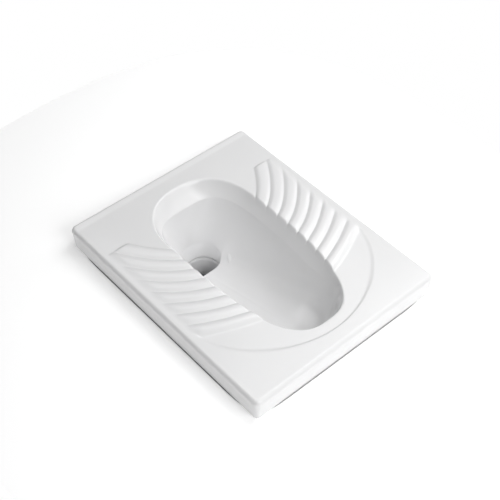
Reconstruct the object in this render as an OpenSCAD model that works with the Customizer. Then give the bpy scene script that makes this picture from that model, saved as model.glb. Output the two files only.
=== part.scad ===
// Squat toilet: a one-piece glazed pan with ribbed footrests, let into the floor
// on its skirt, with a swivelling water-seal trap below the bowl.
// Millimetres. The origin is the middle of the skirt's underside, +Z is up,
// +Y points to the end that holds the outlet, +X runs across the slab.

/* [Slab] */
// Length of the slab along Y
pan_l = 580; // [560:1:600]
// Width of the slab along X
pan_w = 466; // [450:1:480]
// Height of the flat top above the floor
slab_h = 52; // [48:1:56]
// How far the skirt leans in at its foot
draft = 3; // [1:0.5:4]
// Radius of the slab's upright corners
corner_r = 12; // [10:1:16]
// Radius of the rolled top edge
edge_r = 8; // [6:0.5:9]
// Thickness of the cast wall
wall = 11; // [10:0.5:12]

/* [Footrests] */
// Height of the ribs above the flat top
rib_h = 4; // [3:0.5:5]
// Width of the groove between two ribs
rib_gap = 5; // [3:0.5:7]
// Distance from the middle to the ribs' outer ends
rib_out = 216; // [210:1:220]
// Line along which the rear ribs are cut off
rib_rear = 174; // [168:1:180]
// Depth of the oval drip recess round the front
recess_d = 2; // [1:0.5:3]

/* [Bowl] */
// Half width of the bowl mouth
mouth_a = 111; // [108:1:114]
// Y of the mouth's rear end
mouth_rear = 237; // [234:1:240]
// Y of the mouth's front end
mouth_front = -230; // [-234:1:-226]
// Depth of the sloping band round the mouth
band_d = 38; // [34:1:40]
// Depth of the bowl's bottom at its front end, below the floor
bowl_d = 64; // [60:1:66]

/* [Outlet] */
// Y of the outlet's centre
outlet_y = 151; // [149:1:153]
// Radius of the outlet bore
outlet_r = 39; // [38:0.5:40]
// Outside radius of the outlet spigot
spigot_r = 51; // [50:0.5:52]
// Level of the spigot's lower end
spigot_z = -190; // [-195:1:-188]

/* [Flush inlet] */
// Level of the flush inlet's axis
inlet_z = -18; // [-20:1:-17]
// Radius of the flush pipe that the seal takes
flush_r = 16; // [15:0.5:17]
// Radius of the seal's seat in the horn
seat_r = 22.5; // [22:0.5:24]
// Outside radius of the horn
horn_r = 31; // [30:0.5:33]

/* [Trap] */
// Outside radius of the trap pipe
pipe_r = 55; // [55:0.5:55.5]
// Wall of the trap pipe
pipe_t = 3.6; // [3.2:0.1:4]
// Centre-line radius of each bend
bend_r = 60; // [60:1:62]
// Level where the lower bends begin
bend_z = -268; // [-270:1:-266]
// Length of the straight glued joint between the lower bends
joint_l = 24; // [22:1:26]

/* [Cleaning eye] */
// Outside radius of the cleaning eye's neck
eye_r = 40; // [38:0.5:41]
// Length of the thread on the cleaning eye's neck
eye_thread = 12; // [10:1:13]

/* [Hidden] */
$fn = 96;
eps = 0.01;
pipe_i = pipe_r - pipe_t;
riser_y = outlet_y - 2 * bend_r - joint_l;      // axis of the rising leg and of the swivel
low_z = bend_z - bend_r;                        // axis of the lower pass
elbow_z = bend_z + 33;                          // where the elbow starts to turn
out_z = elbow_z + bend_r;                       // axis of the drain spigot
out_y = riser_y - bend_r;                       // where the drain spigot starts
drain_l = 70;
eye_face = -66;                                 // Y of the cleaning eye's rim
band_z = slab_h - band_d;

// ---- curves ----
// One quarter-turn set of a superellipse: half width a, reach b, power n.
function se(t, p) = pow(abs(t), 2 / p) * sign(t);
// A closed outline: rear lobe about yr, front lobe about yf, each with its half width, reach and power,
// drawn out all round by g.
function outline(v, g, m) = let (ar = v[0] + g, yr = v[1], br = v[2] + g, af = v[4] + g, yf = v[5], bf = v[6] + g) concat(
  [for (i = [0:m]) let (t = 180 * i / m) [ar * se(cos(t), v[3]), yr + br * se(sin(t), v[3])]],
  [for (i = [0:m]) let (t = 180 * i / m) [-af * se(cos(t), v[7]), yf - bf * se(sin(t), v[7])]]);
mouth = [mouth_a, 118, mouth_rear - 118, 2.2, mouth_a, 60, 60 - mouth_front, 2.75];
lip = [97.8, 40, 167.4, 3.7, 88.3, -120, 100.1, 2.28];
// The bowl's outline at falling levels under the band; the last one rounds off the front bottom.
levels = [[-22, [94.4, 10, 196, 3.5, 87, -2, 208, 3.1]],
          [-42, [90.5, 16, 189, 3.2, 81, 7, 207, 2.8]],
          [6 - bowl_d, [85.5, 28, 176, 2.8, 77, 24, 204, 1.9]],
          [-76, [80, 60, 143, 2.2, 74, 59, 130, 2.2]],
          [0.5 - bowl_d, [30, -120, 30, 2, 30, -130, 30, 2]]];

// Groove k of the footrest, k = 0 at the rear: Y at a distance x from the middle.
function rib_y(k, x) = let (d = x - 108)
  102.6 - 36.12 * k + 1.248 * k * k - 0.0765 * pow(k, 3)
  + (0.314 + 0.493 * exp(-0.662 * k)) * d + (0.00966 * exp(-0.113 * k) - 0.00296) * d * d;
// Outline of rib k, from groove k to groove k + 1, drawn in by g and cut off at the rear.
function rib_front(k, g) = [for (x = [114 + g:6:rib_out - g]) if (rib_y(k + 1, x) + g < rib_rear - 2 * g) [x, rib_y(k + 1, x) + g]];
function rib_back(k, g) = [for (x = [114 + g:6:rib_out - g]) if (rib_y(k + 1, x) + g < rib_rear - 2 * g) [x, min(rib_y(k, x), rib_rear) - g]];
function reversed(v) = [for (i = [len(v) - 1:-1:0]) v[i]];

// Oval recess round the front of the bowl, bounded by the last rib's foot.
recess = let (s = [for (i = [1:29]) let (t = 180 * i / 30) [-216 * se(cos(t), 1.9), -75 - 182 * se(sin(t), 1.9)]])
  [for (p = s) if (p[1] < rib_y(8, abs(p[0])) - 6) p];

module ring_profile(points) { rotate_extrude() polygon(points); }
// A cylinder along -Y from y0 to y1 at height z.
module along_y(y0, y1, z, r) { translate([0, y0, z]) rotate([90, 0, 0]) cylinder(r = r, h = y0 - y1); }
// Bend in the YZ plane about an X axis through the origin, tube radius r: angle 0 is straight
// below that axis and 90 is on its +Y side.
module bend(r, a0, a) { rotate([0, 90, 0]) rotate([0, 0, a0]) rotate_extrude(angle = a) translate([bend_r, 0]) circle(r = r); }

// ---- pan ----
module slab_outer() {
  x = pan_w / 2 - corner_r; y = pan_l / 2 - corner_r;
  hull() for (sx = [-1, 1], sy = [-1, 1]) {
    translate([sx * x, sy * y, slab_h - edge_r]) rotate_extrude($fn = 32) intersection() {
      translate([corner_r - edge_r, 0]) circle(r = edge_r, $fn = 32);
      translate([0, -edge_r]) square(2 * corner_r);
    }
    translate([sx * x, sy * y, 0]) cylinder(r = corner_r - draft, h = 0.5, $fn = 32);
  }
}
module slab_hollow() {
  x = pan_w / 2 - draft - wall - 6; y = pan_l / 2 - draft - wall - 6;
  translate([0, 0, -1]) linear_extrude(slab_h - wall + 1) hull() for (sx = [-1, 1], sy = [-1, 1]) translate([sx * x, sy * y]) circle(r = 6, $fn = 24);
}
module bowl_outer() {
  hull() {
    translate([0, 0, slab_h - wall - 1]) linear_extrude(3) polygon(outline(mouth, 8, 24));
    translate([0, 0, band_z - wall]) linear_extrude(2) polygon(outline(lip, wall, 20));
  }
  hull() {
    translate([0, 0, band_z - wall]) linear_extrude(1) polygon(outline(lip, wall, 20));
    for (l = levels) translate([0, 0, l[0] - wall * (l[0] > -60 ? 0.4 : 0.9)]) linear_extrude(0.2) polygon(outline(l[1], wall * 0.85, 20));
    translate([0, outlet_y, -106]) cylinder(r = 49 + wall, h = 1, $fn = 48);
    translate([0, outlet_y, -139]) cylinder(r = spigot_r, h = 1, $fn = 48);
  }
}
module bowl_inner() {
  hull() {
    translate([0, 0, slab_h + 4]) linear_extrude(2) polygon(outline(mouth, 5, 24));
    translate([0, 0, slab_h]) linear_extrude(0.2) polygon(outline(mouth, 0, 24));
    translate([0, 0, band_z]) linear_extrude(0.2) polygon(outline(lip, 0, 20));
  }
  hull() {
    translate([0, 0, band_z]) linear_extrude(0.2) polygon(outline(lip, 0, 20));
    for (l = levels) translate([0, 0, l[0]]) linear_extrude(0.2) polygon(outline(l[1], 0, 20));
    translate([0, outlet_y, -100]) cylinder(r = 50, h = 1, $fn = 48);
    translate([0, outlet_y, -131]) cylinder(r = outlet_r - 0.3, h = 1, $fn = 48);
  }
}
module ribs() for (s = [0, 1]) mirror([s, 0, 0]) for (k = [0:7]) {
  translate([0, 0, slab_h - 1]) linear_extrude(1 + rib_h * 0.6) polygon(concat(rib_front(k, rib_gap / 2), reversed(rib_back(k, rib_gap / 2))));
  translate([0, 0, slab_h - 1]) linear_extrude(1 + rib_h) polygon(concat(rib_front(k, rib_gap / 2 + 4), reversed(rib_back(k, rib_gap / 2 + 4))));
}
module pan() color("white") difference() {
  union() {
    difference() { slab_outer(); slab_hollow(); }
    bowl_outer();
    ribs();
    translate([0, outlet_y, spigot_z]) cylinder(r = spigot_r, h = -138 - spigot_z + 1);
    translate([0, -150, inlet_z]) rotate([90, 0, 0]) cylinder(r = horn_r, h = 110);
  }
  bowl_inner();
  translate([0, outlet_y, spigot_z - 1]) cylinder(r = outlet_r, h = -spigot_z - 125);
  translate([0, -140, inlet_z]) rotate([90, 0, 0]) cylinder(r = 20, h = 130);
  translate([0, -222, inlet_z]) rotate([90, 0, 0]) cylinder(r = seat_r, h = 50);
  translate([0, 0, slab_h - recess_d]) linear_extrude(recess_d + 1) polygon(recess);
}

// ---- pan outlet connection ----
// Lipped rubber collar between the pan's spigot and the trap's socket.
sock_r = spigot_r + 7;       // inside of the trap's socket
sock_top = spigot_z + 44;    // rim of the trap's socket
sock_low = spigot_z - 10;    // shoulder under the spigot
module outlet_gasket() color([0.06, 0.06, 0.065]) translate([0, outlet_y, 0]) ring_profile([
  [spigot_r, spigot_z + 12], [sock_r - 2, spigot_z + 8], [sock_r, spigot_z + 12], [sock_r, spigot_z + 16],
  [spigot_r + 4, spigot_z + 18], [spigot_r + 4, spigot_z + 21], [sock_r, spigot_z + 23], [sock_r, spigot_z + 27],
  [spigot_r + 4, spigot_z + 29], [spigot_r + 4, spigot_z + 32], [sock_r, spigot_z + 34], [sock_r, sock_top],
  [sock_r + 4, sock_top], [sock_r + 4, sock_top + 4], [spigot_r + 1, sock_top + 4], [spigot_r, sock_top + 2]]);
// Snap ring that keeps the collar in the socket.
module gasket_ring() color([0.42, 0.44, 0.46]) translate([0, outlet_y, 0]) ring_profile([
  [spigot_r + 2, sock_top + 4], [sock_r + 7, sock_top + 4], [sock_r + 7, sock_top - 9], [sock_r + 5, sock_top - 10.8],
  [sock_r + 5, sock_top - 12], [sock_r + 10, sock_top - 12], [sock_r + 10, sock_top + 5.5], [sock_r + 8.5, sock_top + 7],
  [spigot_r + 2, sock_top + 7]]);

// ---- trap ----
// Falling leg: socket under the pan's spigot and the first lower bend.
module trap_inlet_bend() color([0.62, 0.64, 0.66]) difference() {
  union() {
    translate([0, outlet_y, 0]) ring_profile([
      [0, sock_low - 8], [pipe_r, sock_low - 8], [sock_r + 4, sock_low], [sock_r + 4, sock_top - 10], [sock_r + 6, sock_top - 8],
      [sock_r + 7, sock_top - 4], [sock_r + 4.2, sock_top - 1], [sock_r + 4.2, sock_top], [0, sock_top]]);
    translate([0, outlet_y, bend_z]) cylinder(r = pipe_r, h = sock_low - bend_z);
    translate([0, outlet_y - bend_r, bend_z]) bend(pipe_r, 0, 90);
    along_y(outlet_y - bend_r, outlet_y - bend_r - joint_l + 2, low_z, pipe_r);
  }
  translate([0, outlet_y, sock_low]) cylinder(r = sock_r, h = sock_top - sock_low + 1);
  translate([0, outlet_y, bend_z]) cylinder(r = pipe_i, h = sock_low - bend_z + 1);
  translate([0, outlet_y - bend_r, bend_z]) bend(pipe_i, 0, 90);
  along_y(outlet_y - bend_r, outlet_y - bend_r - joint_l, low_z, pipe_i);
}
// Rising leg: glued socket over the first bend, second lower bend, upright spigot, cleaning eye.
riser_top = elbow_z - 4;
module trap_riser_bend() color([0.62, 0.64, 0.66]) difference() {
  union() {
    along_y(outlet_y - bend_r, riser_y + bend_r - 1, low_z, pipe_r + 4);
    translate([0, riser_y + bend_r, bend_z]) bend(pipe_r, -90, 90);
    translate([0, riser_y, bend_z]) cylinder(r = pipe_r, h = riser_top - bend_z);
    along_y(20, eye_face, low_z, eye_r - 1);
    for (k = [0:2]) let (y = eye_face + 1.5 + k * eye_thread / 3) along_y(y + 1.5, y, low_z, eye_r);
  }
  along_y(outlet_y - bend_r + 1, riser_y + bend_r + 2, low_z, pipe_r);
  along_y(riser_y + bend_r + 3, riser_y + bend_r, low_z, pipe_i);
  translate([0, riser_y + bend_r, bend_z]) bend(pipe_i, -90, 90);
  translate([0, riser_y, bend_z]) cylinder(r = pipe_i, h = riser_top - bend_z + 1);
  along_y(20, eye_face - 1, low_z, eye_r - 5);
}
// Elbow that turns on the rising leg and carries the spigot for the drain.
bell_mouth = elbow_z - 29;   // rim of the elbow's bell
module swivel_elbow() color([0.62, 0.64, 0.66]) difference() {
  union() {
    translate([0, riser_y, 0]) ring_profile([
      [0, bell_mouth], [pipe_r + 8, bell_mouth], [pipe_r + 8, bell_mouth + 8], [pipe_r + 7, bell_mouth + 9.5],
      [pipe_r + 7, elbow_z - 8], [pipe_r + 2.5, elbow_z + 1], [0, elbow_z + 1]]);
    translate([0, out_y, elbow_z]) bend(pipe_r, 90, 90);
    along_y(out_y, out_y - drain_l, out_z, pipe_r);
  }
  translate([0, riser_y, bell_mouth - 1]) cylinder(r = pipe_r + 4, h = 11);
  translate([0, riser_y, bell_mouth - 1]) cylinder(r = pipe_r + 0.4, h = 29);
  translate([0, riser_y, elbow_z - 2]) cylinder(r = pipe_i, h = 2);
  translate([0, out_y, elbow_z]) bend(pipe_i, 90, 90);
  along_y(out_y, out_y - drain_l - 1, out_z, pipe_i);
}
// Rubber ring between the rising leg and the elbow.
module swivel_seal() color([0.06, 0.06, 0.065]) translate([0, riser_y, 0]) difference() {
  translate([0, 0, bell_mouth]) cylinder(r = pipe_r + 4, h = 10);
  translate([0, 0, bell_mouth - 1]) cylinder(r = pipe_r + 0.05, h = 12);
}
// Snap ring under the elbow's bell.
module swivel_ring() color([0.42, 0.44, 0.46]) translate([0, riser_y, 0]) ring_profile([
  [pipe_r + 0.6, bell_mouth - 3], [pipe_r + 9.5, bell_mouth - 3], [pipe_r + 11, bell_mouth - 1.5], [pipe_r + 11, bell_mouth + 12],
  [pipe_r + 7.4, bell_mouth + 12], [pipe_r + 7.4, bell_mouth + 10.5], [pipe_r + 8, bell_mouth + 9.2], [pipe_r + 8, bell_mouth],
  [pipe_r + 0.6, bell_mouth]]);

// ---- cleaning eye ----
gasket_t = 3;
module cleaning_gasket() color([0.06, 0.06, 0.065]) difference() {
  along_y(eye_face, eye_face - gasket_t, low_z, eye_r);
  along_y(eye_face + 1, eye_face - gasket_t - 1, low_z, eye_r - 4.5);
}
cap_in = eye_face - gasket_t;   // inside of the cap's end
module cleaning_cap() color([0.42, 0.44, 0.46]) difference() {
  union() {
    along_y(cap_in + eye_thread + 5, cap_in - 4, low_z, eye_r + 4.2);
    for (k = [0:23]) translate([0, 0, low_z]) rotate([0, 15 * k, 0]) translate([eye_r + 4, cap_in - 2.5, 0]) rotate([-90, 0, 0]) cylinder(r = 1.5, h = eye_thread + 6, $fn = 16);
    translate([-22, cap_in - 11, low_z - 4]) cube([44, 8, 8]);
  }
  along_y(cap_in + eye_thread + 6, cap_in, low_z, eye_r + 0.4);
}

// ---- flush inlet ----
// Rubber bush that the flush pipe is pushed into.
module flush_seal() color([0.06, 0.06, 0.065]) translate([0, -224, inlet_z]) rotate([90, 0, 0]) ring_profile([
  [flush_r, 0], [seat_r - 3, 0], [seat_r, 4], [seat_r, 7], [seat_r - 1.5, 9], [seat_r - 1.5, 12], [seat_r, 14], [seat_r, 17],
  [seat_r - 1.5, 19], [seat_r - 1.5, 22], [seat_r, 24], [seat_r, 36], [seat_r + 5.5, 36], [seat_r + 5.5, 40], [flush_r, 40]]);

pan();
outlet_gasket();
gasket_ring();
trap_inlet_bend();
trap_riser_bend();
swivel_elbow();
swivel_seal();
swivel_ring();
cleaning_gasket();
cleaning_cap();
flush_seal();
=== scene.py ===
import math

import bmesh
import bpy
import numpy as np
from mathutils import Matrix, Vector
from mathutils.bvhtree import BVHTree


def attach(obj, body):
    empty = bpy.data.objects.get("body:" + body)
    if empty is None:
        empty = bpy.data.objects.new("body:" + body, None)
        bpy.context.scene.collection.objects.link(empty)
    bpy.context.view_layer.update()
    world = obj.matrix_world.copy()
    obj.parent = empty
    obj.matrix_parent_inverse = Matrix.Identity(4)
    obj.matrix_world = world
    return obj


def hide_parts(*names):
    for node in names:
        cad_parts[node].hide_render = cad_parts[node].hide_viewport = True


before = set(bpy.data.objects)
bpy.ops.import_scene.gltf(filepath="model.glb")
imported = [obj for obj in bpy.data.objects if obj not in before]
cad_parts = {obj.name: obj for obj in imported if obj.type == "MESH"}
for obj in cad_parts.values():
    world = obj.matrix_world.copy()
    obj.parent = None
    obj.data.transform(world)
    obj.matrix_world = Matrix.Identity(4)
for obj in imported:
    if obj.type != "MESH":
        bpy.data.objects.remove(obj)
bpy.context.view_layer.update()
MM = 0.001
scene = bpy.context.scene


# ------------------------------------------------------------------ helpers
def smooth(x, a=0.0, b=1.0):
    u = np.clip((np.asarray(x, float) - a) / (b - a), 0, 1)
    return u * u * (3 - 2 * u)


def lerp(a, b, w):
    return a + (b - a) * w


def spline(ctrl, params):
    """Cubic B-spline through a net of lines: ctrl is (lines, points, 3), params run from 0 to points - 1 with straight ends."""
    first = 2 * ctrl[:, :1] - ctrl[:, 1:2]
    last = 2 * ctrl[:, -1:] - ctrl[:, -2:-1]
    c = np.concatenate([first, ctrl, last], 1)
    out = np.empty((ctrl.shape[0], len(params), 3))
    for j, p in enumerate(params):
        i = min(int(p), ctrl.shape[1] - 2)
        u = p - i
        w = ((1 - u) ** 3, 3 * u**3 - 6 * u * u + 4, -3 * u**3 + 3 * u * u + 3 * u + 1, u**3)
        out[:, j] = sum(w[k] * c[:, i + k] for k in range(4)) / 6
    return out


class Build:
    """Gathers vertices and faces of one mesh."""

    def __init__(self):
        self.v, self.f, self.m, self.n = [], [], [], 0

    def add(self, points):
        points = np.asarray(points, float).reshape(-1, 3)
        first = self.n
        self.v.append(points)
        self.n += len(points)
        return first + np.arange(len(points))

    def face(self, ids, mat=0):
        clean = [ids[k] for k in range(len(ids)) if ids[k] != ids[k - 1]]
        if len(clean) > 2:
            self.f.append(clean)
            self.m.append(mat)

    def band(self, a, b, mat=0, close=True):
        """Quads between two rings of equal length, or a 2:1 change of density."""
        if len(a) == len(b):
            n = len(a)
            for k in range(n if close else n - 1):
                l = (k + 1) % n
                self.face([a[k], a[l], b[l], b[k]], mat)
        elif len(a) == 2 * len(b):
            n = len(b)
            for k in range(n):
                l = (k + 1) % n
                self.face([a[2 * k], a[2 * k + 1], b[k]], mat)
                self.face([a[2 * k + 1], a[(2 * k + 2) % len(a)], b[l], b[k]], mat)
        elif len(b) == 2 * len(a):
            n = len(a)
            for k in range(n):
                l = (k + 1) % n
                self.face([b[2 * k + 1], b[2 * k], a[k]], mat)
                self.face([b[(2 * k + 2) % len(b)], b[2 * k + 1], a[k], a[l]], mat)
        else:
            raise ValueError((len(a), len(b)))

    def object(self, name, scale=MM, smooth_faces=True):
        mesh = bpy.data.meshes.new(name)
        mesh.from_pydata((np.concatenate(self.v) * scale).tolist(), [], [[int(i) for i in f] for f in self.f])
        mesh.polygons.foreach_set("material_index", np.array(self.m, np.int32))
        mesh.validate()
        mesh.update()
        if smooth_faces:
            mesh.shade_smooth()
        ob = bpy.data.objects.new(name, mesh)
        scene.collection.objects.link(ob)
        return ob


def clean(ob, dist=1e-6):
    bm = bmesh.new()
    bm.from_mesh(ob.data)
    bmesh.ops.remove_doubles(bm, verts=bm.verts, dist=dist)
    bmesh.ops.dissolve_degenerate(bm, edges=bm.edges, dist=dist)
    bmesh.ops.recalc_face_normals(bm, faces=bm.faces)
    bm.to_mesh(ob.data)
    bm.free()
    ob.data.update()


def apply_modifiers(ob):
    bpy.context.view_layer.update()
    graph = bpy.context.evaluated_depsgraph_get()
    mesh = bpy.data.meshes.new_from_object(ob.evaluated_get(graph))
    old = ob.data
    ob.modifiers.clear()
    ob.data = mesh
    mesh.name = ob.name
    bpy.data.meshes.remove(old)


def revolve(profile, axis="Z", at=(0, 0, 0), n=96, mats=None, close=True):
    """Closed profile of (r, z) turned about an axis. A point at r = 0 is a pole."""
    b = Build()
    rings = []
    for r, z in profile:
        if r < 1e-6:
            i = b.add([[0, 0, z]])
            rings.append(np.repeat(i, n))
        else:
            t = 2 * math.pi * np.arange(n) / n
            rings.append(b.add(np.stack([r * np.cos(t), r * np.sin(t), np.full(n, z)], 1)))
    last = len(rings) if close else len(rings) - 1
    for k in range(last):
        b.band(rings[k], rings[(k + 1) % len(rings)], 0 if mats is None else mats[k])
    v = np.concatenate(b.v)
    if axis == "-Y":  # the profile's z runs towards -Y
        v = np.stack([v[:, 0], -v[:, 2], v[:, 1]], 1)
    b.v = [v + np.array(at, float)]
    return b


def rounded(points, radius=0.8, steps=3):
    """Rounds each corner of a closed (r, z) profile."""
    pts = [np.array(p, float) for p in points]
    out = []
    for k, p in enumerate(pts):
        a, c = pts[k - 1], pts[(k + 1) % len(pts)]
        u, w = a - p, c - p
        lu, lw = np.linalg.norm(u), np.linalg.norm(w)
        if p[0] < 1e-6 or lu < 1e-6 or lw < 1e-6:
            out.append(tuple(p))
            continue
        u, w = u / lu, w / lw
        cos = float(np.clip(u @ w, -1, 1))
        if cos < -0.995:
            out.append(tuple(p))
            continue
        half = math.acos(cos) / 2
        t = min(radius / math.tan(half), lu * 0.45, lw * 0.45)
        p0, p1 = p + u * t, p + w * t
        for s in range(steps + 1):
            q = s / steps
            out.append(tuple((1 - q) ** 2 * p0 + 2 * q * (1 - q) * p + q * q * p1))
    return out


# ------------------------------------------------------------------ the glazed pan
L2, W2, TOP = 290.0, 233.0, 52.0
CORNER, EDGE = 12.0, 8.0
HALF = 440                       # grid lines from the front middle to the rear middle, one side
FAN, ROUND = 88, 308             # lines where the straight trough begins and where the outlet begins
HOLE_Y, HOLE_R, SPIG_R = 151.0, 39.2, 51.0


def super_arc(a, b, n, t):
    return a * np.abs(np.cos(t)) ** (2 / n), b * np.abs(np.sin(t)) ** (2 / n)


def half_outline(ar, yr, br, nr, af, yf, bf, nf):
    t = np.linspace(math.pi / 2, 0, 3000)
    xf, dy = super_arc(af, bf, nf, t)
    front = np.stack([xf, yf - dy], 1)
    xr, ey = super_arc(ar, br, nr, t[::-1])
    rear = np.stack([xr, yr + ey], 1)
    side_y = np.linspace(yf, yr, 400)[1:-1]
    side = np.stack([lerp(af, ar, smooth(side_y, yf, yr)), side_y], 1)
    p = np.concatenate([front, side, rear])
    keep = np.r_[True, np.linalg.norm(np.diff(p, axis=0), axis=1) > 1e-7]
    return p[keep]


def arc_of(p):
    return np.r_[0, np.cumsum(np.linalg.norm(np.diff(p, axis=0), axis=1))]


def at_arc(p, s, want):
    return np.stack([np.interp(want, s, p[:, 0]), np.interp(want, s, p[:, 1])], 1)


def normals_of(p):
    d = np.gradient(p, axis=0)
    d[0] = (1, 0)
    d[-1] = (-1, 0)
    n = np.stack([d[:, 1], -d[:, 0]], 1)
    return n / np.linalg.norm(n, axis=1)[:, None]


def relax(v, passes):
    for _ in range(passes):
        v = np.r_[v[0], (v[:-2] + 2 * v[1:-1] + v[2:]) / 4, v[-1]]
    return v


# mouth edge, one side, from the front middle round to the rear middle
mouth_dense = half_outline(111, 118, 119, 2.2, 111, 60, 290, 2.75)
ms = arc_of(mouth_dense)
s_fan = np.interp(-130, mouth_dense[:2500, 1], ms[:2500])
s_round = np.interp(104, mouth_dense[:, 1], ms)
lines = np.arange(HALF + 1)
want = np.interp(lines, [0, FAN, ROUND, HALF], [0, s_fan, s_round, ms[-1]])
want = relax(want, 60)
mouth = at_arc(mouth_dense, ms, want)
mouth_n = normals_of(mouth)

# inner edge of the sloping band: the nearest point to each mouth point
BAND = 38.0
lip_dense = half_outline(97.8, 40, 167.4, 3.7, 88.3, -120, 100.1, 2.28)
lip = np.stack([lip_dense[np.argmin(((lip_dense - m) ** 2).sum(1))] for m in mouth])
lip[0], lip[-1] = (0, lip_dense[0, 1]), (0, lip_dense[-1, 1])
for _ in range(12):
    lip[1:-1] = (lip[:-2] + 2 * lip[1:-1] + lip[2:]) / 4
lip_z = np.full(HALF + 1, TOP - BAND)


def soft_ramp(u, w):
    u = np.clip(u, 0, None)
    return np.where(u < w, u * u / (2 * w), u - w / 2)


def floor_z(y):
    return -64 - 0.29 * soft_ramp(y + 132, 40) + 0.00213 * np.clip(y - 80, 0, None) ** 2


def end_curve(radius, lip_y, flat=None):
    """Where each line ends: the front fan's middle, along the trough's bottom, then round the outlet."""
    front = HOLE_Y - radius if flat is None else flat
    e = np.zeros((HALF + 1, 2))
    e[: FAN + 1, 1] = -132
    g = (lip_y[FAN : ROUND + 1] - lip_y[FAN]) / (lip_y[ROUND] - lip_y[FAN])
    e[FAN : ROUND + 1, 1] = -132 + (front + 132) * g
    phi = math.pi * np.arange(HALF - ROUND + 1) / (HALF - ROUND)
    e[ROUND:, 0] = radius * np.sin(phi)
    e[ROUND:, 1] = HOLE_Y - radius * np.cos(phi)
    if flat is not None:   # the bowl's floor reaches over the bore and cuts its front off straight
        over = e[ROUND:, 1] - flat
        e[ROUND:, 1] = flat + 0.5 * (over + np.sqrt(over * over + 9)) - 0.11 * np.cos(phi / 2)
    e[-1, 0] = 0
    full = np.zeros(HALF + 1)
    full[ROUND:] = phi
    return e, full


end_in, phi = end_curve(HOLE_R, lip[:, 1], 134.0)
end_z = np.where(phi > 0, -129 - 2.6 * phi / math.pi, floor_z(end_in[:, 1]))
round_w = smooth(np.arange(HALF + 1), ROUND - 10, ROUND + 50)
wide_w = smooth(np.arange(HALF + 1), np.argmin(np.abs(lip[:ROUND, 1] - 5)), ROUND + 46)   # the walls lean back from here to the outlet
sink = 1 - smooth(phi, 0.35, 2.0)   # the outlet's shoulder sinks into the floor at the front


def profile_net(edge, inner, inner_z, end, zend, wall_u, drop_u, wall_r, z_r, upper=0):
    """Control points of each line from the inner edge of the band down to its end."""
    d = inner - end
    D = np.linalg.norm(d, axis=1)
    direction = d / D[:, None]
    net = []
    for i, (e, q, wr, zr) in enumerate(zip(wall_u, drop_u, wall_r, z_r)):
        du = D * (1 - e)
        zu = inner_z + (zend - inner_z) * q
        dr = wr(D) if callable(wr) else np.full(HALF + 1, float(wr))
        zz = zr if isinstance(zr, np.ndarray) else np.full(HALF + 1, float(zr))
        w = wide_w if i < upper else round_w
        dist, z = lerp(du, dr, w), lerp(zu, zz, w)
        xy = end + direction * dist[:, None]
        net.append(np.concatenate([xy, z[:, None]], 1))
    return net


def side(D):
    a = D - 10.5
    return np.minimum(a, 46.5) - 4.0 * np.exp(-np.abs(a - 46.5) / 8.0) * (a > 20)


def with_z(p, z):
    return np.concatenate([p, np.broadcast_to(np.asarray(z, float), (len(p),))[:, None]], 1)


m3, l3 = with_z(mouth, TOP), with_z(lip, lip_z)
net = [with_z(mouth + mouth_n * k, TOP) for k in (9.0, 5.0, 1.4)]
net += [lerp(m3, l3, k) - np.array([0, 0, hollow]) for k, hollow in ((0.07, 0.2), (0.24, 1.3), (0.5, 2.0), (0.78, 1.4), (0.94, 0.4), (0.985, 0.1))]
net += profile_net(
    mouth, lip, lip_z, end_in, end_z,
    (0.002, 0.006, 0.032, 0.09, 0.21, 0.40, 0.66, 0.87, 0.95, 1.0),
    (0.012, 0.05, 0.24, 0.49, 0.735, 0.90, 0.972, 0.995, 1.0, 1.0),
    (lambda D: D - 0.1, lambda D: D - 0.4, lambda D: D - 0.16 * side(D), lambda D: D - 0.42 * side(D), lambda D: D - 0.76 * side(D),
     10.6, 10.2, 8.6, 3.4, 0.0),
    (lip_z - 1.2, lip_z - 5, lip_z - 28, -48.0, lerp(-79.0, -86.0, sink), lerp(-96.5, -119.0, sink), lerp(-99.6, -121.5, sink),
     lerp(-104.0, -124.5, sink), lerp(-121.0, -127.0, sink), end_z), upper=5)
net = np.stack(net, 1)
ease = (smooth(lines, ROUND - 70, ROUND - 40) * (1 - smooth(lines, ROUND + 60, ROUND + 90)))[1:-1, None, None]
for _ in range(110):
    even = (net[:-2, 10:-1] + 2 * net[1:-1, 10:-1] + net[2:, 10:-1]) / 4
    net[1:-1, 10:-1] = lerp(net[1:-1, 10:-1], even, ease)
steps = [3, 3, 3, 3, 3, 3, 3, 3, 3, 3, 3, 4, 5, 5, 5, 5, 4, 4]
params = np.concatenate([k + np.arange(n) / n for k, n in enumerate(steps)] + [[len(steps)]])
inner = spline(net, params)
inner[:, -1, :2] = end_in
inner[:, -1, 2] = end_z


# ---- relief of the top: ribs, recess, rear rim
def groove(k, d):
    return (102.6 - 36.12 * k + 1.248 * k * k - 0.0765 * k**3 + (0.314 + 0.493 * np.exp(-0.662 * k)) * d
            + (0.00966 * np.exp(-0.113 * k) - 0.00296) * d * d)


def rib_number(x, y):
    d = np.abs(x) - 108
    k = (103 - y) / 32
    for _ in range(14):
        kk = np.clip(k, -1.5, 10)
        slope = -36.12 + 2.496 * kk - 0.2295 * kk * kk - 0.3264 * np.exp(-0.662 * kk) * d - 0.00109 * np.exp(-0.113 * kk) * d * d
        k = kk - (groove(kk, d) - y) / np.minimum(slope, -6)
    return k


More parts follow.
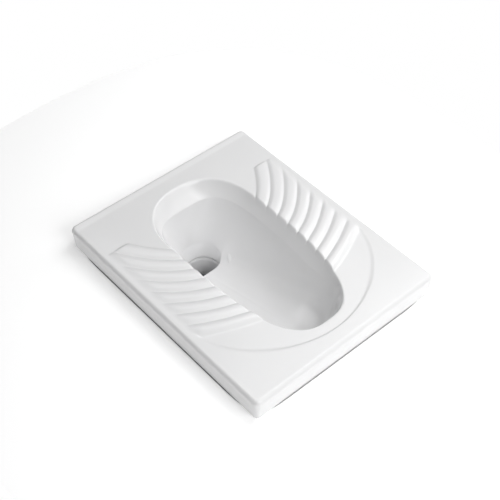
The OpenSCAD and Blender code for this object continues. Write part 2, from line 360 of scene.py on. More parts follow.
def relief(x, y, edge_dist):
    """Height over the flat top. edge_dist is the distance outside the mouth's edge."""
    ax = np.abs(x)
    k = rib_number(x, y)
    on = (k > 0) & (k < 8)
    f = np.where(on, k - np.floor(k), 0)
    crown = 0.36
    rise = 1 - np.clip((crown - f) / crown, 0, 1) ** 1.75
    fall = 1 - np.clip((f - crown) / (1 - crown), 0, 1) ** 2.5
    rib = np.where(f < crown, rise, fall) * on
    rib = rib * (1 - smooth(ax, 199, 220))
    tip = np.clip(edge_dist / 5.0 + 0.6, 0, 1)
    rib = rib * np.sqrt(1 - (1 - tip) ** 2)
    rib = rib * (1 - smooth(y, 172, 176.5))
    h = 3.85 * rib
    near_groove = np.clip(1 - np.abs(k - np.round(k)) / 0.10, 0, 1) * (k > -0.3) * (k < 7.7)
    h = h - 1.7 * near_groove * np.exp(-((edge_dist - 1.0) / 5.0) ** 2)
    gauge = (np.abs(x / 217) ** 1.9 + np.abs((y + 75) / 182.5) ** 1.9) ** (1 / 1.9)
    inside = smooth((1 - gauge) * 190, -0.5, 4.5)
    h = h - 2.1 * inside * smooth(k, 7.55, 8.15)
    h = h + 1.9 * smooth(y, 267, 282)
    return np.minimum(h, 3.9)


def wave(x, y):
    """The faint unevenness of a fired casting."""
    return (0.16 * np.sin(x / 47 + 1.3) * np.cos(y / 61 - 0.4) + 0.09 * np.sin((x + 2 * y) / 83 + 0.7)
            + 0.06 * np.cos((2 * x - y) / 39 + 2.1))


# the slab's outline, one side, as corner centres and directions so that it can be drawn in
def border(s, inset):
    """Point at length s along the slab's edge from the front middle, drawn in by inset."""
    c = CORNER
    x1, arc, y1 = W2 - c, math.pi * c / 2, 2 * (L2 - c)
    out = np.empty((len(s), 2))
    r = c - inset
    for i, v in enumerate(s):
        if v <= x1:
            out[i] = (v, -L2 + inset)
        elif v <= x1 + arc:
            a = (v - x1) / c
            out[i] = (x1 + r * math.sin(a), -(L2 - c) - r * math.cos(a))
        elif v <= x1 + arc + y1:
            out[i] = (W2 - inset, -(L2 - c) + v - x1 - arc)
        elif v <= x1 + 2 * arc + y1:
            a = (v - x1 - arc - y1) / c
            out[i] = (x1 + r * math.cos(a), (L2 - c) + r * math.sin(a))
        else:
            out[i] = (x1 - (v - x1 - 2 * arc - y1), L2 - inset)
    return out


x1, arc, y1 = W2 - CORNER, math.pi * CORNER / 2, 2 * (L2 - CORNER)
total = 2 * x1 + 2 * arc + y1
i_fc = int(np.argmin(np.abs(mouth[: FAN + 60, 1] + 186)))
i_rc = int(ROUND + np.argmin(np.abs(mouth[ROUND:, 1] - 207)))
i_a = int(np.argmin(np.abs(mouth[:, 1] + 120)))
i_b = int(np.argmin(np.abs(mouth[:, 1] - 95)))
side_at = lambda y: x1 + arc + (L2 - CORNER) + y
border_s = np.interp(lines,
                     [0, i_fc - 9, i_fc + 9, i_a, i_b, i_rc - 9, i_rc + 9, HALF],
                     [0, x1 - 2, x1 + arc + 2, side_at(-150), side_at(128), x1 + arc + y1 - 2, x1 + 2 * arc + y1 + 2, total])
soft = relax(border_s, 25)
near = np.maximum(np.exp(-((lines - i_fc) / 16.0) ** 4), np.exp(-((lines - i_rc) / 16.0) ** 4))
border_s = lerp(soft, border_s, near)


def mirrored(half):
    """Ring of points from one side's line ends: front middle, +X side, rear middle, -X side."""
    other = half[-2:0:-1] * np.array([-1, 1, 1])
    return np.concatenate([half, other])


pan = Build()
# top, from the border inwards, one ring after another; the glazed rings first
GLAZE, BISQUE = 0, 1


def lines_of(step):
    return np.arange(0, HALF + 1, step)


start = inner[:, 0]                      # 9 mm outside the mouth's edge
b8 = border(border_s, EDGE)
top_q = np.r_[np.linspace(0, 1, 51)]
edge_dist_line = 9 + np.linalg.norm(b8 - start[:, :2], axis=1)[:, None] * top_q[None]
top = np.empty((HALF + 1, len(top_q), 3))
for j, q in enumerate(top_q):
    top[:, j, :2] = lerp(start[:, :2], b8, q)
top[:, :, 2] = np.minimum(TOP + relief(top[:, :, 0], top[:, :, 1], edge_dist_line) + wave(top[:, :, 0], top[:, :, 1]), TOP + 3.98)
# fillet and band rings carry the relief too, fading into the band
FINE = 13
fade_rings = np.interp(params, [0, 3, 4.5, 6.0], [1, 1, 0.45, 0])
mid = inner[:, :24].copy()
dist = ((mid[:, :, :2] - mouth[:, None]) * mouth_n[:, None]).sum(2)
add = relief(mid[:, :, 0], mid[:, :, 1], dist) + wave(mid[:, :, 0], mid[:, :, 1])
inner[:, :24, 2] = np.where(fade_rings[None, :24] > 0, np.minimum(inner[:, :24, 2] + add * fade_rings[None, :24], TOP + 3.98), inner[:, :24, 2])

rings = []
for j in range(len(top_q) - 1, -1, -1):
    rings.append(pan.add(mirrored(top[:, j] if j else inner[:, 0])))
for j in range(1, FINE):
    rings.append(pan.add(mirrored(inner[:, j])))
for a, b in zip(rings[:-1], rings[1:]):
    pan.band(a, b, GLAZE)
outer_ring = rings[0]

coarse = lines_of(2)
prev = rings[-1]
for j in range(FINE, len(params)):
    if j == len(params) - 1:
        half_ids = pan.add(inner[coarse, j])
        r2 = ROUND // 2
        left = half_ids.copy()
        rest = pan.add(inner[coarse, j][r2 + 1 : -1] * np.array([-1, 1, 1]))
        left[r2 + 1 : -1] = rest
        left[: FAN // 2 + 1] = half_ids[0]
        right = half_ids.copy()
        right[: FAN // 2 + 1] = half_ids[0]
        ring = np.concatenate([right, left[-2:0:-1]])
        bore_top = np.concatenate([half_ids[r2:], left[-2:r2:-1]])
    else:
        ring = pan.add(mirrored(inner[coarse, j]))
    pan.band(prev, ring, GLAZE)
    prev = ring

# rolled edge, skirt and foot
rim_z = top[:, -1, 2]
prev = outer_ring
for k, a in enumerate(np.radians([12, 25, 38, 51, 64, 77, 90])):
    p = border(border_s, EDGE * (1 - math.sin(a)))
    z = 44 + (rim_z - 44) * math.cos(a)
    ring = pan.add(mirrored(with_z(p[coarse], z[coarse])))
    pan.band(ring, prev, GLAZE)
    prev = ring
for inset, z in ((0.7, 34), (1.4, 23), (2.1, 12), (2.75, 3.5), (3.0, 1.8)):
    ring = pan.add(mirrored(with_z(border(border_s, inset)[coarse], z)))
    pan.band(ring, prev, GLAZE)
    prev = ring
for inset, z in ((3.5, 0.5), (5.0, 0.0)):
    ring = pan.add(mirrored(with_z(border(border_s, inset)[coarse], z)))
    pan.band(ring, prev, BISQUE)
    prev = ring

# underside
under = lines_of(4)


def rect_point(inset, z, radius=6.0):
    """The hollow's outline: the same lines, on a box drawn in by inset with a small corner radius. The radius argument
    is not used.
    """
    p = border(border_s, 11.5)
    grow = np.array([(W2 - inset) / (W2 - 11.5), (L2 - inset) / (L2 - 11.5)])
    return with_z(p * grow, z)


for inset, z in ((14.0, 0.0), (15.4, 0.6), (16.0, 2.2), (16.2, 12.0), (16.6, 24.0), (17.4, 33.0), (19.5, 38.0), (23.5, 40.6), (30.0, 41.0)):
    ring = pan.add(mirrored(rect_point(inset, z)[under if inset > 14.1 else coarse]))
    pan.band(ring, prev, BISQUE)
    prev = ring
lip_n = normals_of(lip)
for _ in range(20):
    lip_n[1:-1] = (lip_n[:-2] + lip_n[1:-1] * 2 + lip_n[2:]) / 4
lip_n /= np.linalg.norm(lip_n, axis=1)[:, None]
end_out, _ = end_curve(SPIG_R, lip[:, 1])
zend_out = np.where(phi > 0, -140.0, floor_z(end_in[:, 1]) - 11)
lip_out = lip + lip_n * 11.5
out_net = [with_z(mouth + mouth_n * k, 41.0) for k in (20.0, 14.0, 9.5)]
out_net += [with_z(lerp(mouth + mouth_n * 9.0, lip_out, 0.25), 41 - 0.25 * BAND)]
out_net += [with_z(lerp(mouth + mouth_n * 9.0, lip_out, 0.7), 41 - 0.7 * BAND)]
out_net += profile_net(
    mouth, lip_out, lip_z - 11, end_out, zend_out,
    (0.004, 0.03, 0.09, 0.21, 0.40, 0.66, 0.87, 1.0),
    (0.03, 0.24, 0.49, 0.735, 0.905, 0.985, 1.0, 1.0),
    (lambda D: D - 0.2, lambda D: lerp(D, 9.0, 0.10), lambda D: lerp(D, 9.0, 0.32), lambda D: lerp(D, 9.0, 0.68),
     8.8, 7.0, 2.0, 0.0),
    (lip_z - 14, lip_z - 36, -54.0, -86.0, -104.0, -114.0, -130.0, zend_out))
out_net = np.stack(out_net, 1)
out_steps = [2, 2, 2, 2, 2, 2, 2, 3, 4, 4, 4, 4]
out_params = np.concatenate([k + np.arange(n) / n for k, n in enumerate(out_steps)] + [[len(out_steps)]])
outer = spline(out_net, out_params)
outer[:, -1, :2] = end_out
outer[:, -1, 2] = zend_out
plate = rect_point(30.0, 41.0)[under]
to = outer[under, 0]
for q in (0.33, 0.66):
    ring = pan.add(mirrored(lerp(plate, to, q)))
    pan.band(ring, prev, BISQUE)
    prev = ring
for j in range(len(out_params)):
    if j == len(out_params) - 1:
        half_ids = pan.add(outer[under, j])
        r4 = ROUND // 4
        left = half_ids.copy()
        left[r4 + 1 : -1] = pan.add(outer[under, j][r4 + 1 : -1] * np.array([-1, 1, 1]))
        left[: FAN // 4 + 1] = half_ids[0]
        right = half_ids.copy()
        right[: FAN // 4 + 1] = half_ids[0]
        ring = np.concatenate([right, left[-2:0:-1]])
        spig_top = np.concatenate([half_ids[r4:], left[-2:r4:-1]])
    else:
        ring = pan.add(mirrored(outer[under, j]))
    pan.band(ring, prev, BISQUE)
    prev = ring


def circle_ring(n_half, r, z):
    a = math.pi * np.arange(n_half + 1) / n_half
    p = np.stack([r * np.sin(a), HOLE_Y - r * np.cos(a), np.full(n_half + 1, float(z))], 1)
    p[-1, 0] = 0
    return mirrored(p)


prev = spig_top
n_out = (HALF - ROUND) // 4
for r, z in ((51, -146), (51, -160), (51, -175), (51, -187.6), (50.4, -189.2), (49, -190)):
    ring = pan.add(circle_ring(n_out, r, z))
    pan.band(ring, prev, BISQUE)
    prev = ring
ring = pan.add(circle_ring(2 * n_out, 40.4, -190))
pan.band(ring, prev, BISQUE)
prev = ring
for r, z, m in ((36.8, -189.4, BISQUE), (36.2, -188, GLAZE), (37.2, -176, GLAZE), (38.4, -162, GLAZE), (39.3, -149, GLAZE), (39.6, -140.6, GLAZE),
                (40.2, -139.9, GLAZE), (44.6, -139.6, GLAZE), (45.6, -138.9, GLAZE), (45.8, -136.6, GLAZE), (45.2, -135.4, GLAZE),
                (40.4, -134.9, GLAZE), (39.4, -134.4, GLAZE), (39.1, -133.2, GLAZE)):
    ring = pan.add(circle_ring(2 * n_out, r, z))
    pan.band(ring, prev, m)
    prev = ring
pan.band(bore_top, prev, GLAZE)

pan_ob = pan.object("glazed_pan")
clean(pan_ob, 2e-6)


# flush horn: a stub on the bowl's front, bored through
def cutter(name, profile, at, n=64):
    ob = revolve(profile, "-Y", at, n).object(name)
    clean(ob)
    return ob


def horn_body():
    """The horn's outside, starting inside the bowl's front wall and following its curve."""
    tree = BVHTree.FromPolygons([tuple(v.co) for v in pan_ob.data.vertices], [tuple(p.vertices) for p in pan_ob.data.polygons])
    b, n, rows = Build(), 64, []
    t = 2 * math.pi * np.arange(n) / n
    for r in (31.0, 24.0, 16.0, 8.0):
        pts = []
        for a in t:
            x, z = r * math.cos(a), -18 + r * math.sin(a)
            hit = tree.ray_cast(Vector((x * MM, -0.125, z * MM)), Vector((0, -1, 0)))[0]
            pts.append((x, hit.y / MM - 5.0, z))
        rows.append(b.add(pts))
    hit = tree.ray_cast(Vector((0, -0.125, -0.018)), Vector((0, -1, 0)))[0]
    middle = np.repeat(b.add([(0, hit.y / MM - 5.0, -18)]), n)
    outer_rows = [b.add(np.stack([r * np.cos(t), np.full(n, y), -18 + r * np.sin(t)], 1)) for r, y in ((31, -225), (31, -258.6), (30.5, -259.6), (29.5, -260))]
    far = np.repeat(b.add([(0, -260, -18)]), n)
    chain = [middle] + rows[::-1] + outer_rows + [far]
    for p, q in zip(chain[:-1], chain[1:]):
        b.band(p, q, BISQUE)
    ob = b.object("horn_body")
    clean(ob)
    return ob


horn = horn_body()
bore = cutter("horn_bore", [(0, 0), (20, 0), (20, 82), (22.5, 82), (22.5, 119), (24, 120.5), (24, 140), (0, 140)], (0, -140, -18))
for other, op in ((horn, "UNION"), (bore, "DIFFERENCE")):
    mod = pan_ob.modifiers.new("cut", "BOOLEAN")
    mod.operation, mod.solver, mod.object = op, "MANIFOLD", other
    apply_modifiers(pan_ob)
for o in (horn, bore):
    bpy.data.objects.remove(o)
print("PAN", len(pan_ob.data.vertices), len(pan_ob.data.polygons), [round(v * 1000, 2) for v in (*pan_ob.bound_box[0], *pan_ob.bound_box[6])])


# ------------------------------------------------------------------ materials
def new_material(name):
    m = bpy.data.materials.new(name)
    m.use_nodes = True
    nt = m.node_tree
    return m, nt, nt.nodes["Principled BSDF"]


def add_noise(nt, scale, detail=2.0, rough=0.5, coord=None):
    n = nt.nodes.new("ShaderNodeTexNoise")
    n.inputs["Scale"].default_value = scale
    n.inputs["Detail"].default_value = detail
    n.inputs["Roughness"].default_value = rough
    if coord is None:
        coord = nt.nodes.new("ShaderNodeTexCoord")
    nt.links.new(coord.outputs["Object"], n.inputs["Vector"])
    return n, coord


def ramp(nt, source, stops):
    r = nt.nodes.new("ShaderNodeValToRGB")
    while len(r.color_ramp.elements) < len(stops):
        r.color_ramp.elements.new(0.5)
    for e, (pos, col) in zip(r.color_ramp.elements, stops):
        e.position = pos
        e.color = (*col, 1) if len(col) == 3 else col
    nt.links.new(source, r.inputs["Fac"])
    return r


def value_map(nt, source, a, b, lo=0.3, hi=0.7):
    r = nt.nodes.new("ShaderNodeMapRange")
    r.inputs["From Min"].default_value = lo
    r.inputs["From Max"].default_value = hi
    r.inputs["To Min"].default_value = a
    r.inputs["To Max"].default_value = b
    nt.links.new(source, r.inputs["Value"])
    return r.outputs["Result"]


def bump(nt, bsdf, height, strength, distance, previous=None):
    b = nt.nodes.new("ShaderNodeBump")
    b.inputs["Strength"].default_value = strength
    b.inputs["Distance"].default_value = distance
    nt.links.new(height, b.inputs["Height"])
    if previous is not None:
        nt.links.new(previous.outputs["Normal"], b.inputs["Normal"])
    nt.links.new(b.outputs["Normal"], bsdf.inputs["Normal"])
    return b


def glaze_material():
    m, nt, p = new_material("white_glaze")
    broad, coord = add_noise(nt, 5.0, 3.0, 0.5)
    col = ramp(nt, broad.outputs["Fac"], [(0.3, (0.828, 0.828, 0.833)), (0.7, (0.852, 0.852, 0.854))])
    nt.links.new(col.outputs["Color"], p.inputs["Base Color"])
    fine, _ = add_noise(nt, 60.0, 2.0, 0.5, coord)
    nt.links.new(value_map(nt, fine.outputs["Fac"], 0.13, 0.2), p.inputs["Roughness"])
    p.inputs["IOR"].default_value = 1.5
    peel, _ = add_noise(nt, 110.0, 1.5, 0.4, coord)
    b1 = bump(nt, p, peel.outputs["Fac"], 0.18, 0.0004)
    return m


def bisque_material():
    m, nt, p = new_material("bare_ceramic")
    broad, coord = add_noise(nt, 14.0, 4.0, 0.6)
    col = ramp(nt, broad.outputs["Fac"], [(0.3, (0.70, 0.685, 0.65)), (0.7, (0.79, 0.78, 0.755))])
    nt.links.new(col.outputs["Color"], p.inputs["Base Color"])
    fine, _ = add_noise(nt, 450.0, 3.0, 0.7, coord)
    nt.links.new(value_map(nt, fine.outputs["Fac"], 0.62, 0.85), p.inputs["Roughness"])
    bump(nt, p, fine.outputs["Fac"], 0.35, 0.0006)
    return m


glaze, bisque = glaze_material(), bisque_material()
pan_ob.data.materials.clear()
pan_ob.data.materials.append(glaze)
pan_ob.data.materials.append(bisque)
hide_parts("pan")
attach(pan_ob, "root")


def plastic_material(name, low, high, rough, grain=900.0, depth=0.00012):
    m, nt, p = new_material(name)
    broad, coord = add_noise(nt, 22.0, 3.0, 0.55)
    col = ramp(nt, broad.outputs["Fac"], [(0.3, low), (0.7, high)])
    nt.links.new(col.outputs["Color"], p.inputs["Base Color"])
    fine, _ = add_noise(nt, grain, 2.0, 0.6, coord)
    nt.links.new(value_map(nt, fine.outputs["Fac"], rough - 0.06, rough + 0.08), p.inputs["Roughness"])
    bump(nt, p, fine.outputs["Fac"], 0.25, depth)
    return m


pipe_mat = plastic_material("pipe_plastic", (0.605, 0.625, 0.645), (0.65, 0.67, 0.69), 0.36)
ring_mat = plastic_material("ring_plastic", (0.275, 0.285, 0.305), (0.32, 0.33, 0.35), 0.42)
rubber_mat = plastic_material("black_rubber", (0.042, 0.042, 0.046), (0.060, 0.060, 0.065), 0.62, 1400.0, 0.0002)


# ------------------------------------------------------------------ seals, rings and the trap
SPIG_Z, LOW_Z, BEND_Z, RISER_Y, ELBOW_Z = -190.0, -328.0, -268.0, 7.0, -235.0
SOCK_R, SOCK_TOP, BELL = 58.0, -146.0, -264.0
PIPE_R, PIPE_I, BEND_R = 55.0, 51.4, 60.0


def finish_piece(ob, node, body, material):
    ob.data.materials.clear()
    ob.data.materials.append(material)
    ob.data.set_sharp_from_angle(angle=math.radians(38))
    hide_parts(node)
    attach(ob, body)
    return ob


def turned(name, profile, axis, at, radius=0.7, n=128, grips=None):
    """Ring turned from a closed profile; grips = (count, depth, least r, z from, z to) cuts hollows between finger ribs."""
    b = revolve(rounded(profile, radius, 4), "Z", (0, 0, 0), n)
    v = np.concatenate(b.v)
    if grips:
        count, depth, least, z0, z1 = grips
        r, a = np.hypot(v[:, 0], v[:, 1]), np.arctan2(v[:, 1], v[:, 0])
        hollow = 1 - smooth(np.cos(count * a), -0.2, 0.75)
        cut = depth * hollow * (r > least) * smooth(v[:, 2], z0, z0 + 0.8) * (1 - smooth(v[:, 2], z1 - 0.8, z1))
        v[:, :2] *= (1 - cut / np.maximum(r, 1))[:, None]
    if axis == "-Y":
        v = np.stack([v[:, 0], -v[:, 2], v[:, 1]], 1)
    b.v = [v + np.array(at, float)]
    ob = b.object(name)
    clean(ob)
    return ob


def path_point(s, start, heading, legs):
    """Point and heading at length s along lines and arcs in the YZ plane. A leg is (length, turn radius or 0, side)."""
    y, z, h = start[0], start[1], heading
    for length, radius, side in legs:
        step = min(s, length) if (length, radius, side) != legs[-1] else s
        if radius:
            cy, cz = y - radius * side * math.sin(h), z + radius * side * math.cos(h)
            h2 = h + side * step / radius
            y, z, h = cy + radius * side * math.sin(h2), cz - radius * side * math.cos(h2), h2
        else:
            y, z = y + step * math.cos(h), z + step * math.sin(h)
        s -= length
        if s <= 0:
            break
    return y, z, h


SEAM = [d + k for d in (90, 270) for k in (-1.7, -1.1, -0.55, 0, 0.55, 1.1, 1.7)]


def tube(name, profile, start, heading, legs, seam=None, seam_r=PIPE_R, radius=0.8):
    """Closed (s, r) profile swept along a path: the outside runs forward, the bore back. seam = (from, to) has a parting line."""
    turns = np.radians(sorted(set([round(3.75 * k, 3) for k in range(96) if min(abs(3.75 * k - 90), abs(3.75 * k - 270)) > 2] + SEAM)))
    pts = rounded(profile, radius, 3)
    full = []
    for a, c in zip(pts, pts[1:] + pts[:1]):
        n = max(1, int(abs(c[0] - a[0]) / 2.6))
        full += [(lerp(a[0], c[0], k / n), lerp(a[1], c[1], k / n)) for k in range(n)]
    b, rings = Build(), []
    line = np.clip(1 - np.abs(np.abs(np.degrees(turns) - 180) - 90) / 1.2, 0, 1) ** 0.5
    for s_, r in full:
        y, z, h = path_point(max(s_, 0.0), start, heading, legs)
        rr = np.full(len(turns), r)
        if seam and abs(r - seam_r) < 0.3 and seam[0] <= s_ <= seam[1]:
            fade = float(smooth(s_, seam[0], seam[0] + 4) * (1 - smooth(s_, seam[1] - 4, seam[1])))
            rr = r - 0.32 * fade * (1 - line)
        x, up = rr * np.cos(turns), rr * np.sin(turns)
        rings.append(b.add(np.stack([x, y - up * math.sin(h), z + up * math.cos(h)], 1)))
    for k in range(len(rings)):
        b.band(rings[k], rings[(k + 1) % len(rings)])
    ob = b.object(name)
    clean(ob)
    return ob


def join_solids(ob, other, op):
    mod = ob.modifiers.new("cut", "BOOLEAN")
    mod.operation, mod.solver, mod.object = op, "MANIFOLD", other
    apply_modifiers(ob)
    bpy.data.objects.remove(other)


# pan's outlet: lipped collar and its snap ring
finish_piece(turned("outlet_collar", [
    (51, SPIG_Z + 12), (SOCK_R - 2, SPIG_Z + 8), (SOCK_R, SPIG_Z + 12), (SOCK_R, SPIG_Z + 16), (55, SPIG_Z + 18), (55, SPIG_Z + 21),
    (SOCK_R, SPIG_Z + 23), (SOCK_R, SPIG_Z + 27), (55, SPIG_Z + 29), (55, SPIG_Z + 32), (SOCK_R, SPIG_Z + 34), (SOCK_R, SOCK_TOP),
    (SOCK_R + 4, SOCK_TOP), (SOCK_R + 4, SOCK_TOP + 4), (52, SOCK_TOP + 4), (51, SOCK_TOP + 2)], "Z", (0, HOLE_Y, 0), 0.9),
    "outlet_gasket", "root", rubber_mat)
finish_piece(turned("collar_snap_ring", [
    (53, SOCK_TOP + 4), (65, SOCK_TOP + 4), (65, SOCK_TOP - 9), (63, SOCK_TOP - 10.8), (63, SOCK_TOP - 12), (68, SOCK_TOP - 12),
    (68, SOCK_TOP - 9), (68, SOCK_TOP - 3), (68, SOCK_TOP + 2), (68, SOCK_TOP + 5.5), (66.5, SOCK_TOP + 7), (53, SOCK_TOP + 7)], "Z",
    (0, HOLE_Y, 0), 0.7, 384, (48, 1.1, 66.5, SOCK_TOP - 9.6, SOCK_TOP + 4.4)), "gasket_ring", "root", ring_mat)

# trap: falling leg
quarter = BEND_R * math.pi / 2
legs_in = [(SOCK_TOP - BEND_Z, 0, 1), (quarter, BEND_R, -1), (22.0, 0, 1)]
end_s = SOCK_TOP - BEND_Z + quarter + 22.0
finish_piece(tube("trap_falling_leg", [
    (0, 62.2), (1, 62.2), (4, 65), (8, 64), (10, 62), (30, 62), (54, 62), (62, 55), (end_s - 24, 55), (end_s - 3, 55), (end_s, 53.8),
    (end_s, 51.4), (54, 51.4), (54, 58), (0, 58)], (HOLE_Y, SOCK_TOP), -math.pi / 2, legs_in, (64, end_s - 23)),
    "trap_inlet_bend", "root", pipe_mat)

# trap: rising leg with the cleaning eye's neck
legs_up = [(24.0, 0, 1), (quarter, BEND_R, -1), (29.0, 0, 1)]
end_u = 24.0 + quarter + 29.0
riser = tube("trap_rising_leg", [
    (0, 58.2), (1.2, 59), (23.6, 59), (25, 58), (27, 55), (end_u - 3, 55), (end_u, 53.8), (end_u, 51.4), (24, 51.4), (22, 51.4), (22, 55), (0, 55)],
    (91.0, LOW_Z), math.pi, legs_up, (29, end_u - 22))
EYE_R, EYE_FACE = 40.0, -66.0


def neck():
    """The cleaning eye's neck with a single-start thread, from inside the bend to its rim."""
    b, n, rings = Build(), 144, []
    t = 2 * math.pi * np.arange(n) / n
    ys = np.r_[np.linspace(8, EYE_FACE + 16, 6), np.arange(EYE_FACE + 15.5, EYE_FACE + 0.9, -0.5), EYE_FACE + 0.5, EYE_FACE]
    for y in ys:
        d = y - EYE_FACE
        turn = (d / 6.0 + t / (2 * math.pi)) % 1.0
        ridge = np.clip(1 - np.abs(turn - 0.5) / 0.24, 0, 1) ** 0.7
        r = EYE_R - 1 + 1.0 * ridge * float(smooth(d, 0.9, 2.4) * (1 - smooth(d, 12.5, 15)))
        if d < 0.9:
            r = np.full(n, EYE_R - 1 - (0.5 if d < 0.2 else 0.1))
        rings.append(b.add(np.stack([r * np.cos(t), np.full(n, y), LOW_Z + r * np.sin(t)], 1)))
    first, last = np.repeat(b.add([(0, 8, LOW_Z)]), n), np.repeat(b.add([(0, EYE_FACE, LOW_Z)]), n)
    chain = [first] + rings + [last]
    for p, q in zip(chain[:-1], chain[1:]):
        b.band(p, q)
    ob = b.object("neck")
    clean(ob)
    return ob


# the neck without the rising leg's bore, then the leg without the neck's
def solid_bore():
    ob = tube("bore", [(21.9, 0.01), (21.9, 51.39), (24.0, 51.39), (end_u + 1, 51.39), (end_u + 1, 0.01)], (91.0, LOW_Z), math.pi, legs_up, None, 0, 0.0)
    return ob


neck_ob = neck()
join_solids(neck_ob, solid_bore(), "DIFFERENCE")
join_solids(riser, neck_ob, "UNION")
eye = revolve([(0, 0), (EYE_R - 5, 0), (EYE_R - 5, 86.2), (EYE_R - 4.2, 87), (0, 87)], "-Y", (0, 20, LOW_Z), 96).object("eye_bore")
clean(eye)
join_solids(riser, eye, "DIFFERENCE")
finish_piece(riser, "trap_riser_bend", "root", pipe_mat)
print("RISER", len(riser.data.polygons), [round(v * 1000, 2) for v in (*riser.bound_box[0], *riser.bound_box[6])])

# elbow that turns, its seal and snap ring
legs_out = [(29.0, 0, 1), (quarter, BEND_R, 1), (70.0, 0, 1)]
end_o = 29.0 + quarter + 70.0
finish_piece(tube("turning_elbow", [
    (0, 63), (8, 63), (9.5, 62), (21, 62), (29.4, 57.5), (31.5, 55), (end_o - 30, 55), (end_o - 4, 55), (end_o, 53.6), (end_o, 51.4), (28, 51.4),
    (28, 55.4), (10, 55.4), (10, 59), (0, 59)], (RISER_Y, BELL), math.pi / 2, legs_out, (34, end_o - 12)),
    "swivel_elbow", "swivel", pipe_mat)
finish_piece(turned("elbow_seal", [
    (55.05, BELL + 0.4), (56.2, BELL), (59, BELL), (59, BELL + 10), (56.2, BELL + 10), (55.05, BELL + 9.2), (55.05, BELL + 7.2), (56.3, BELL + 6.2),
    (56.3, BELL + 3.8), (55.05, BELL + 2.8)], "Z", (0, RISER_Y, 0), 0.5), "swivel_seal", "swivel", rubber_mat)
finish_piece(turned("elbow_snap_ring", [
    (55.6, BELL - 3), (64.5, BELL - 3), (66, BELL - 1.5), (66, BELL), (66, BELL + 5), (66, BELL + 10), (66, BELL + 12), (62.4, BELL + 12),
    (62.4, BELL + 10.5), (63, BELL + 9.2), (63, BELL), (55.6, BELL)], "Z", (0, RISER_Y, 0), 0.6, 384, (48, 1.1, 64.6, BELL - 0.6, BELL + 11)),
    "swivel_ring", "swivel", ring_mat)

# cleaning eye: flat ring and screw cap
finish_piece(turned("eye_washer", [(EYE_R - 4.5, 0), (EYE_R, 0), (EYE_R, 3), (EYE_R - 4.5, 3)], "-Y", (0, EYE_FACE, LOW_Z), 0.5),
             "cleaning_gasket", "cap_seal", rubber_mat)
CAP_IN = EYE_FACE - 3
cap = turned("eye_cap", [
    (0, 4), (EYE_R + 2.4, 4), (EYE_R + 4.2, 2.6), (EYE_R + 5.5, 1.6), (EYE_R + 5.5, -6), (EYE_R + 5.5, -12), (EYE_R + 5.5, -15.5), (EYE_R + 4.2, -17),
    (EYE_R + 0.4, -17), (EYE_R + 0.4, 0), (0, 0)], "-Y", (0, CAP_IN, LOW_Z), 0.6, 384, (24, 1.3, EYE_R + 4.3, -15.4, 1.5))


def bar():
    """The cap's finger bar: a block with rounded edges."""
    bm = bmesh.new()
    bmesh.ops.create_cube(bm, size=1.0)
    for v in bm.verts:
        v.co = Vector((v.co.x * 44, CAP_IN - 6.75 + v.co.y * 8.5, LOW_Z + v.co.z * 8))
    ob = bpy.data.objects.new("bar", bpy.data.meshes.new("bar"))
    bmesh.ops.scale(bm, vec=(MM, MM, MM), verts=bm.verts)
    bm.to_mesh(ob.data)
    bm.free()
    scene.collection.objects.link(ob)
    mod = ob.modifiers.new("round", "BEVEL")
    mod.width, mod.segments, mod.limit_method = 0.0014, 4, "NONE"
    apply_modifiers(ob)
    return ob


join_solids(cap, bar(), "UNION")
finish_piece(cap, "cleaning_cap", "cap", ring_mat)

# flush inlet's bush
finish_piece(turned("flush_bush", [
    (16, 0), (19.5, 0), (22.5, 4), (22.5, 7), (21, 9), (21, 12), (22.5, 14), (22.5, 17), (21, 19), (21, 22), (22.5, 24), (22.5, 36), (28, 36), (28, 40),
    (16, 40), (16, 30), (16.9, 28), (16.9, 24), (16, 22), (16, 16), (16.9, 14), (16.9, 10), (16, 8)], "-Y", (0, -224, -18), 0.6),
    "flush_seal", "root", rubber_mat)


# ------------------------------------------------------------------ floor, light, camera
def floor_patch():
    """A pale floor round the skirt's foot, open inside it, its rim rounding from a square towards an oval."""
    b = Build()
    n = 160
    t = 2 * math.pi * np.arange(n) / n
    rings = []
    for x0, y0, z in ((0.2155, 0.2725, -0.002), (0.2318, 0.2888, -0.002)):   # a narrow recess round the foot; its grey is painted shade for the foot's contact shadow
        x = x0 * np.sign(np.cos(t)) * np.abs(np.cos(t)) ** (1 / 6)
        y = y0 * np.sign(np.sin(t)) * np.abs(np.sin(t)) ** (1 / 6)
        rings.append(b.add(np.stack([x, y, np.full(n, z)], 1)))
    inner_x, inner_y = 0.2318, 0.2888
    for q in (0.0, 0.02, 0.06, 0.12, 0.2, 0.3, 0.42, 0.56, 0.72, 0.86, 1.0):
        p = 12 if q == 0 else 12 - 9.5 * q ** 0.35
        ax, ay = inner_x + 0.42 * q, inner_y + 0.42 * q
        x = ax * np.sign(np.cos(t)) * np.abs(np.cos(t)) ** (2 / p)
        y = ay * np.sign(np.sin(t)) * np.abs(np.sin(t)) ** (2 / p)
        rings.append(b.add(np.stack([x, y, np.zeros(n)], 1)))
    for k, (a, c) in enumerate(zip(rings[:-1], rings[1:])):
        # the first two bands are the recess, coloured grey as painted shade for the contact shadow
        b.band(c, a, 1 if k < 2 else 0)
    ob = b.object("floor", 1.0, False)
    m, nt, p = new_material("pale_floor")
    p.inputs["Roughness"].default_value = 0.9
    p.inputs["Specular IOR Level"].default_value = 0.0
    p.inputs["Base Color"].default_value = (0.97, 0.97, 0.97, 1)
    p.inputs["Emission Color"].default_value = (1, 1, 1, 1)
    p.inputs["Emission Strength"].default_value = 0.27
    ob.data.materials.append(m)
    # painted shade: this grey stands in for the contact shadow along the skirt's foot
    j, _, p = new_material("painted_shadow_joint")
    p.inputs["Base Color"].default_value = (0.62, 0.62, 0.62, 1)
    p.inputs["Roughness"].default_value = 0.95
    ob.data.materials.append(j)
    return ob


floor = floor_patch()

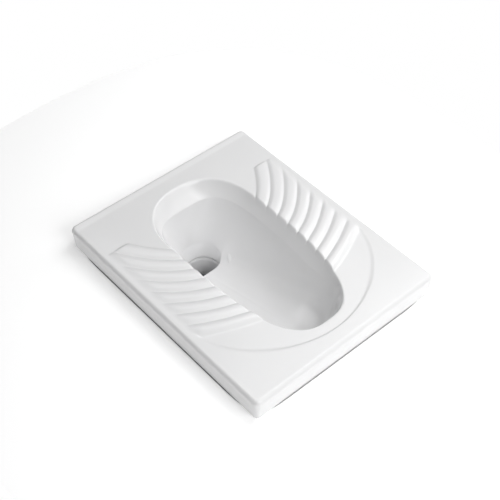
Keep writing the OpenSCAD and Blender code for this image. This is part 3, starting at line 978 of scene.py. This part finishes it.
world = bpy.data.worlds.new("studio")
scene.world = world
world.use_nodes = True
wn = world.node_tree
bg = wn.nodes["Background"]
bg.inputs["Color"].default_value = (1, 1, 1, 1)
way = wn.nodes.new("ShaderNodeTexCoord")
split = wn.nodes.new("ShaderNodeSeparateXYZ")
wn.links.new(way.outputs["Generated"], split.inputs["Vector"])
wn.links.new(value_map(wn, split.outputs["Z"], 0.5, 0.03, -0.12, 0.04), bg.inputs["Strength"])
seen = wn.nodes.new("ShaderNodeBackground")
seen.inputs["Color"].default_value = (1, 1, 1, 1)
seen.inputs["Strength"].default_value = 1.0
path = wn.nodes.new("ShaderNodeLightPath")
mix = wn.nodes.new("ShaderNodeMixShader")
wn.links.new(path.outputs["Is Camera Ray"], mix.inputs["Fac"])
wn.links.new(bg.outputs["Background"], mix.inputs[1])
wn.links.new(seen.outputs["Background"], mix.inputs[2])
wn.links.new(mix.outputs["Shader"], wn.nodes["World Output"].inputs["Surface"])


def area(name, at, target, size, power, size_y=None):
    d = bpy.data.lights.new(name, "AREA")
    d.shape = "RECTANGLE"
    d.size, d.size_y = size, size_y or size
    d.energy = power
    o = bpy.data.objects.new(name, d)
    scene.collection.objects.link(o)
    o.location = at
    o.rotation_mode = "QUATERNION"
    o.rotation_quaternion = (Vector(target) - Vector(at)).to_track_quat("-Z", "Y")
    return o


def softbox(name, az, el, dist, size, power):
    """A square softbox seen from the object at azimuth az (from +X towards +Y) and elevation el."""
    a, e = math.radians(az), math.radians(el)
    area(name, tuple(dist * k for k in (math.cos(a) * math.cos(e), math.sin(a) * math.cos(e), math.sin(e))), (0, 0, 0), size, power)


softbox("front", -92, 35, 2.2, 1.2, 14)
softbox("front_right", -65, 35, 2.2, 1.2, 5.8)
softbox("right_low", 0, 20, 2.2, 1.2, 3.5)
softbox("right", 0, 35, 2.2, 1.2, 5.7)
softbox("right_high", 0, 60, 2.2, 1.2, 10.4)
softbox("rear_high", 90, 60, 2.2, 1.2, 6.3)
softbox("left_low", 180, 20, 2.2, 1.2, 5.0)
area("front_key", (-0.236, -0.850, 1.06), (0, 0.16, -0.15), 0.45, 3.0)
area("above", (0.35, -0.15, 1.3), (0, 0, 0), 0.8, 1.65)
area("above_right", (0.55, 0.15, 1.2), (0, 0, 0), 0.8, 2.2)

cam_data = bpy.data.cameras.new("camera")
cam = bpy.data.objects.new("camera", cam_data)
scene.collection.objects.link(cam)
scene.camera = cam
cam_data.sensor_width = 36
cam_data.lens = 1066.6035 * 36 / 500
az, el, roll = math.radians(-41.0554), math.radians(47.4061), math.radians(0.1092)
back = Vector((math.sin(az) * math.cos(el), -math.cos(az) * math.cos(el), math.sin(el)))
look = Vector((0.035831, 0.035841, 0.0))
cam.location = look + back * 2.208614
right = Vector((0, 0, 1)).cross(back).normalized()
down = -back.cross(right)
r2 = right * math.cos(roll) + down * math.sin(roll)
u2 = -(-right * math.sin(roll) + down * math.cos(roll))
cam.rotation_mode = "QUATERNION"
cam.rotation_quaternion = Matrix((r2, u2, back)).transposed().to_quaternion()
cam_data.clip_start, cam_data.clip_end = 0.05, 60

scene.view_settings.view_transform = "Standard"
scene.view_settings.look = "None"
